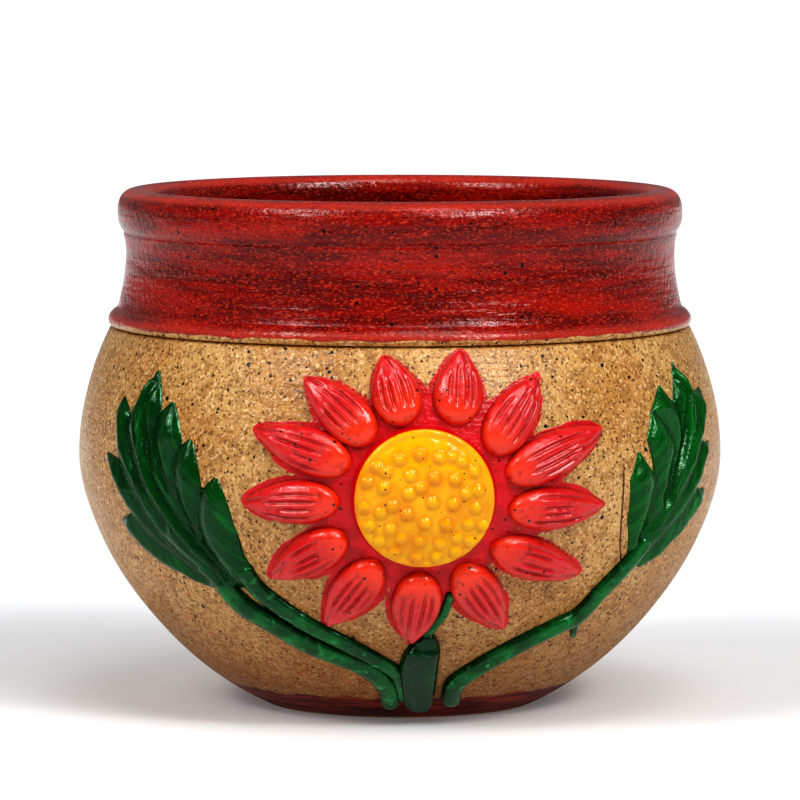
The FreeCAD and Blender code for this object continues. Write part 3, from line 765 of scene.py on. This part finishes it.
def solid_tree(piece):
    """The piece's surface in a form that answers how near a place is."""
    places = [spot.co for spot in piece.data.vertices]
    return BVHTree.FromPolygons(places, [face.vertices for face in piece.data.polygons])


def nearest(tree, place):
    """The distance from a place to the piece, or far where it is further."""
    found = tree.find_nearest(place, far)[3]
    return far if found is None else found


disc_piece = solid_tree(disc)
petal_pieces = [solid_tree(piece) for piece in bpy.data.objects if piece.name.startswith("petal_")]
scribe = [on_belly(*spot, 0) for spot in scribed_places]
to_red, beside_line = [], []
for spot in belly.data.vertices:
    place = spot.co
    lower = next((corner for corner in scribe[1:] if corner.z < place.z), scribe[-1])
    upper = scribe[scribe.index(lower) - 1]
    share = min(max((upper.z - place.z) / (upper.z - lower.z), 0), 1)
    beside_line.append((place.x - upper.lerp(lower, share).x) * turning_away)
    if place.y > 0 or math.hypot(place.x, place.y) < floor_reach:
        to_red.append(far)
        continue
    ring = max(nearest(disc_piece, place) - ring_reach, 0)
    to_red.append(min(*[nearest(tree, place) for tree in petal_pieces], ring))
for name, values in (("to_red", to_red), ("beside_line", beside_line)):
    belly.data.attributes.new(name, "FLOAT", "POINT").data.foreach_set("value", values)


# Floor and light: a wide white floor under the pot, faintly lit from below as on a light table, soft suns
# with a brighter core from the upper left and the upper right, one overhead, and a dim pale surround.
floor_half_width = 40
floor_glow = 0.12
paper_white = (0.79, 0.79, 0.8, 1)
sky_pale = (0.96, 0.98, 1, 1)
sky_strength = 0.3
floor_mesh = bmesh.new()
bmesh.ops.create_grid(floor_mesh, x_segments=1, y_segments=1, size=floor_half_width)
mesh = bpy.data.meshes.new("floor")
floor_mesh.to_mesh(mesh)
floor_mesh.free()
ground = bpy.data.objects.new("floor", mesh)
bpy.context.collection.objects.link(ground)
paper = Finish("white paper", 0.9, 0.2)
paper.shader.inputs["Base Color"].default_value = paper_white
paper.shader.inputs["Emission Color"].default_value = (1, 1, 1, 1)
paper.shader.inputs["Emission Strength"].default_value = floor_glow
ground.data.materials.append(paper.material)

world = bpy.data.worlds.new("surround")
bpy.context.scene.world = world
world.use_nodes = True
surround = world.node_tree.nodes["Background"]
surround.inputs["Color"].default_value = sky_pale
surround.inputs["Strength"].default_value = sky_strength

from_left = Vector((-0.569, -0.478, 0.669))
from_right = Vector((0.487, -0.561, 0.669))
from_above = Vector((0.12, -0.38, 0.92))
suns = [
    # name, the way towards it, strength, how many degrees it is across
    ("left light", from_left, 0.78, 34), ("left core", from_left, 0.55, 11),
    ("right light", from_right, 1.15, 30), ("right core", from_right, 0.72, 11),
    ("top light", from_above, 0.7, 24),
]
for name, way, power, spread in suns:
    light = bpy.data.lights.new(name, "SUN")
    light.energy = power
    light.angle = math.radians(spread)
    lamp = bpy.data.objects.new(name, light)
    lamp.rotation_euler = (-way).to_track_quat("-Z", "Y").to_euler()
    bpy.context.collection.objects.link(lamp)

bpy.context.scene.view_settings.view_transform = "Standard"
bpy.context.scene.view_settings.look = "High Contrast"
bpy.context.scene.view_settings.exposure = -0.47

camera_rise = math.radians(5.22)
camera_away = 2.533
target = Vector((0, 0, 0.14056))
camera = bpy.data.objects.new("camera", bpy.data.cameras.new("camera"))
camera.data.lens = 243.5
camera.data.sensor_width = 36
camera.location = target + Vector((0, -math.cos(camera_rise), math.sin(camera_rise))) * camera_away
camera.rotation_euler = (target - camera.location).to_track_quat("-Z", "Y").to_euler()
bpy.context.collection.objects.link(camera)
bpy.context.scene.camera = camera
